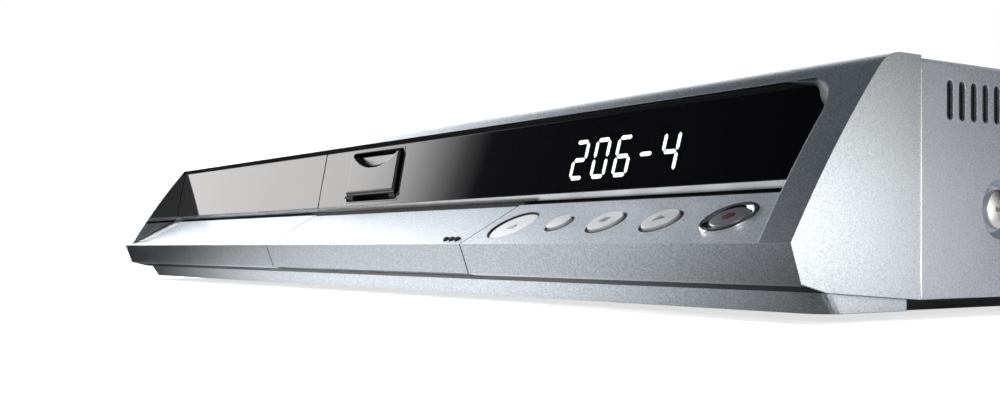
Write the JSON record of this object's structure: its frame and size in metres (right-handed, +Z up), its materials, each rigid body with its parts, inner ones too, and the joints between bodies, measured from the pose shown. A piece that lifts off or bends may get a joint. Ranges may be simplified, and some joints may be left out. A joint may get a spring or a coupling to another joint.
{
  "type": "disc recorder",
  "caption": "Slim silver disc and hard-drive recorder with a raked fascia, smoked window, sliding disc tray, hinged input and card flaps, round keys and rear sockets.",
  "frame": {"origin": "on the surface the feet stand on, under the middle of the overall box", "axes": "+X to the right seen from the front, +Y towards the rear sockets, +Z up"},
  "size_m": [0.43, 0.328, 0.059],
  "materials": {
    "silver_paint": "fine metallic flake lacquer over moulded plastic, satin",
    "key_plastic": "pale silver moulded keys, satin gloss",
    "cover_paint": "silver-grey painted sheet steel, fine texture",
    "zinc_sheet": "zinc-plated sheet steel",
    "smoked_window": "smoked acrylic, polished",
    "black_plastic": "moulded black plastic, matt",
    "dark_plastic": "dark grey moulded plastic, matt",
    "foot_rubber": "matt rubber",
    "nickel": "nickel plate",
    "chrome_ring": "bright chrome",
    "circuit_board": "green lacquered laminate",
    "brown_board": "brown paper laminate",
    "nylon": "natural white nylon",
    "socket_plastic": "coloured socket plastic",
    "motor_steel": "plated motor can",
    "drive_alloy": "cast alloy, matt",
    "display_glass": "dark display tube"
  },
  "bodies": {
    "case": {"bottom_pan": "zinc_sheet", "top_cover": "cover_paint", "rear_panel": "zinc_sheet", "front_fascia": "silver_paint", "plinth": "silver_paint", "feet": "foot_rubber", "cover_screws": "nickel", "inner_screws": "nickel", "inner_frame": "black_plastic", "display_window": "smoked_window", "display_tube": "display_glass", "display_board": "circuit_board", "button_board": "circuit_board", "switches": "black_plastic", "jack_panel": "black_plastic", "front_jacks": "socket_plastic", "card_socket": "dark_plastic", "record_ring": "chrome_ring", "main_board": "circuit_board", "main_chips": "black_plastic", "power_board": "brown_board", "power_parts": "dark_plastic", "av_board": "circuit_board", "tuner_can": "zinc_sheet", "hard_drive": "drive_alloy", "hard_drive_bracket": "zinc_sheet", "hard_drive_bushes": "foot_rubber", "drive_frame": "dark_plastic", "clamp_bridge": "zinc_sheet", "loading_motor": "motor_steel", "drive_belt": "foot_rubber", "spindle_motor": "motor_steel", "guide_rods": "nickel", "sled_motor": "motor_steel", "scart_sockets": "black_plastic", "phono_sockets": "socket_plastic", "satellite_sockets": "nickel", "digital_sockets": "nickel", "mains_inlet": "black_plastic", "fan_frame": "black_plastic"},
    "tray": {"disc_tray": "dark_plastic", "tray_bezel": "smoked_window"},
    "tray_gear": {"tray_gear": "nylon"},
    "pulley_gear": {"pulley_gear": "nylon"},
    "motor_pulley": {"motor_pulley": "nylon"},
    "turntable": {"turntable": "black_plastic"},
    "clamp_puck": {"clamp_puck": "nylon"},
    "pickup_sled": {"pickup_sled": "dark_plastic"},
    "sled_screw": {"sled_screw": "nickel"},
    "fan_rotor": {"fan_rotor": "dark_plastic"},
    "input_flap": {"input_flap": "silver_paint"},
    "card_flap": {"card_flap": "smoked_window"},
    "standby_button": {"standby_button": "silver_paint"},
    "eject_button": {"eject_button": "key_plastic"},
    "select_button": {"select_button": "key_plastic"},
    "stop_button": {"stop_button": "key_plastic"},
    "play_button": {"play_button": "key_plastic"},
    "record_button": {"record_button": "key_plastic"}
  },
  "joints": [
    {"name": "tray_slide", "type": "slide", "parent": "case", "child": "tray", "axis": [0, -1, 0], "range_m": [0, 0.134]},
    {"name": "tray_gear_turn", "type": "hinge", "parent": "case", "child": "tray_gear", "pos_m": [-0.0901, -0.1058, 0.024], "axis": [0, 0, 1], "range_deg": [-639.9, 0]},
    {"name": "pulley_gear_turn", "type": "hinge", "parent": "case", "child": "pulley_gear", "pos_m": [-0.1101, -0.1058, 0.024], "axis": [0, 0, 1], "range_deg": [0, 959.8]},
    {"name": "motor_pulley_turn", "type": "hinge", "parent": "case", "child": "motor_pulley", "pos_m": [-0.1461, -0.1058, 0.024], "axis": [0, 0, 1], "range_deg": [0, 2999.1]},
    {"name": "turntable_spin", "type": "hinge", "parent": "case", "child": "turntable", "pos_m": [-0.1261, -0.06554, 0.024], "axis": [0, 0, 1], "continuous": true},
    {"name": "clamp_spin", "type": "hinge", "parent": "case", "child": "clamp_puck", "pos_m": [-0.1261, -0.06554, 0.048], "axis": [0, 0, 1], "continuous": true},
    {"name": "sled_slide", "type": "slide", "parent": "case", "child": "pickup_sled", "axis": [0, 1, 0], "range_m": [0, 0.035]},
    {"name": "sled_screw_turn", "type": "hinge", "parent": "case", "child": "sled_screw", "pos_m": [-0.0951, -0.06554, 0.0296], "axis": [0, 1, 0], "range_deg": [0, 4200]},
    {"name": "fan_spin", "type": "hinge", "parent": "case", "child": "fan_rotor", "pos_m": [0.0605, 0.155, 0.0255], "axis": [0, 1, 0], "continuous": true},
    {"name": "input_flap_hinge", "type": "hinge", "parent": "case", "child": "input_flap", "pos_m": [0, -0.1591, 0.0101], "axis": [1, 0, 0], "range_deg": [0, 120]},
    {"name": "card_flap_hinge", "type": "hinge", "parent": "case", "child": "card_flap", "pos_m": [0, -0.13856, 0.03482], "axis": [1, 0, 0], "range_deg": [0, 75]},
    {"name": "standby_press", "type": "slide", "parent": "case", "child": "standby_button", "axis": [0, 0.4746, -0.8802], "range_m": [0, 0.0008], "stiffness_N_per_m": 1500},
    {"name": "eject_press", "type": "slide", "parent": "case", "child": "eject_button", "axis": [0, 0.4746, -0.8802], "range_m": [0, 0.0008], "stiffness_N_per_m": 1500},
    {"name": "select_press", "type": "slide", "parent": "case", "child": "select_button", "axis": [0, 0.4746, -0.8802], "range_m": [0, 0.0008], "stiffness_N_per_m": 1500},
    {"name": "stop_press", "type": "slide", "parent": "case", "child": "stop_button", "axis": [0, 0.4746, -0.8802], "range_m": [0, 0.0008], "stiffness_N_per_m": 1500},
    {"name": "play_press", "type": "slide", "parent": "case", "child": "play_button", "axis": [0, 0.4746, -0.8802], "range_m": [0, 0.0008], "stiffness_N_per_m": 1500},
    {"name": "record_press", "type": "slide", "parent": "case", "child": "record_button", "axis": [0, 0.4746, -0.8802], "range_m": [0, 0.0008], "stiffness_N_per_m": 1500}
  ],
  "couplings": [
    {"joint": "tray_gear_turn", "follows": "tray_slide", "rad_per_m": -83.333},
    {"joint": "pulley_gear_turn", "follows": "tray_slide", "rad_per_m": 125},
    {"joint": "motor_pulley_turn", "follows": "tray_slide", "rad_per_m": 390.62},
    {"joint": "sled_screw_turn", "follows": "sled_slide", "rad_per_m": 2094.4}
  ]
}
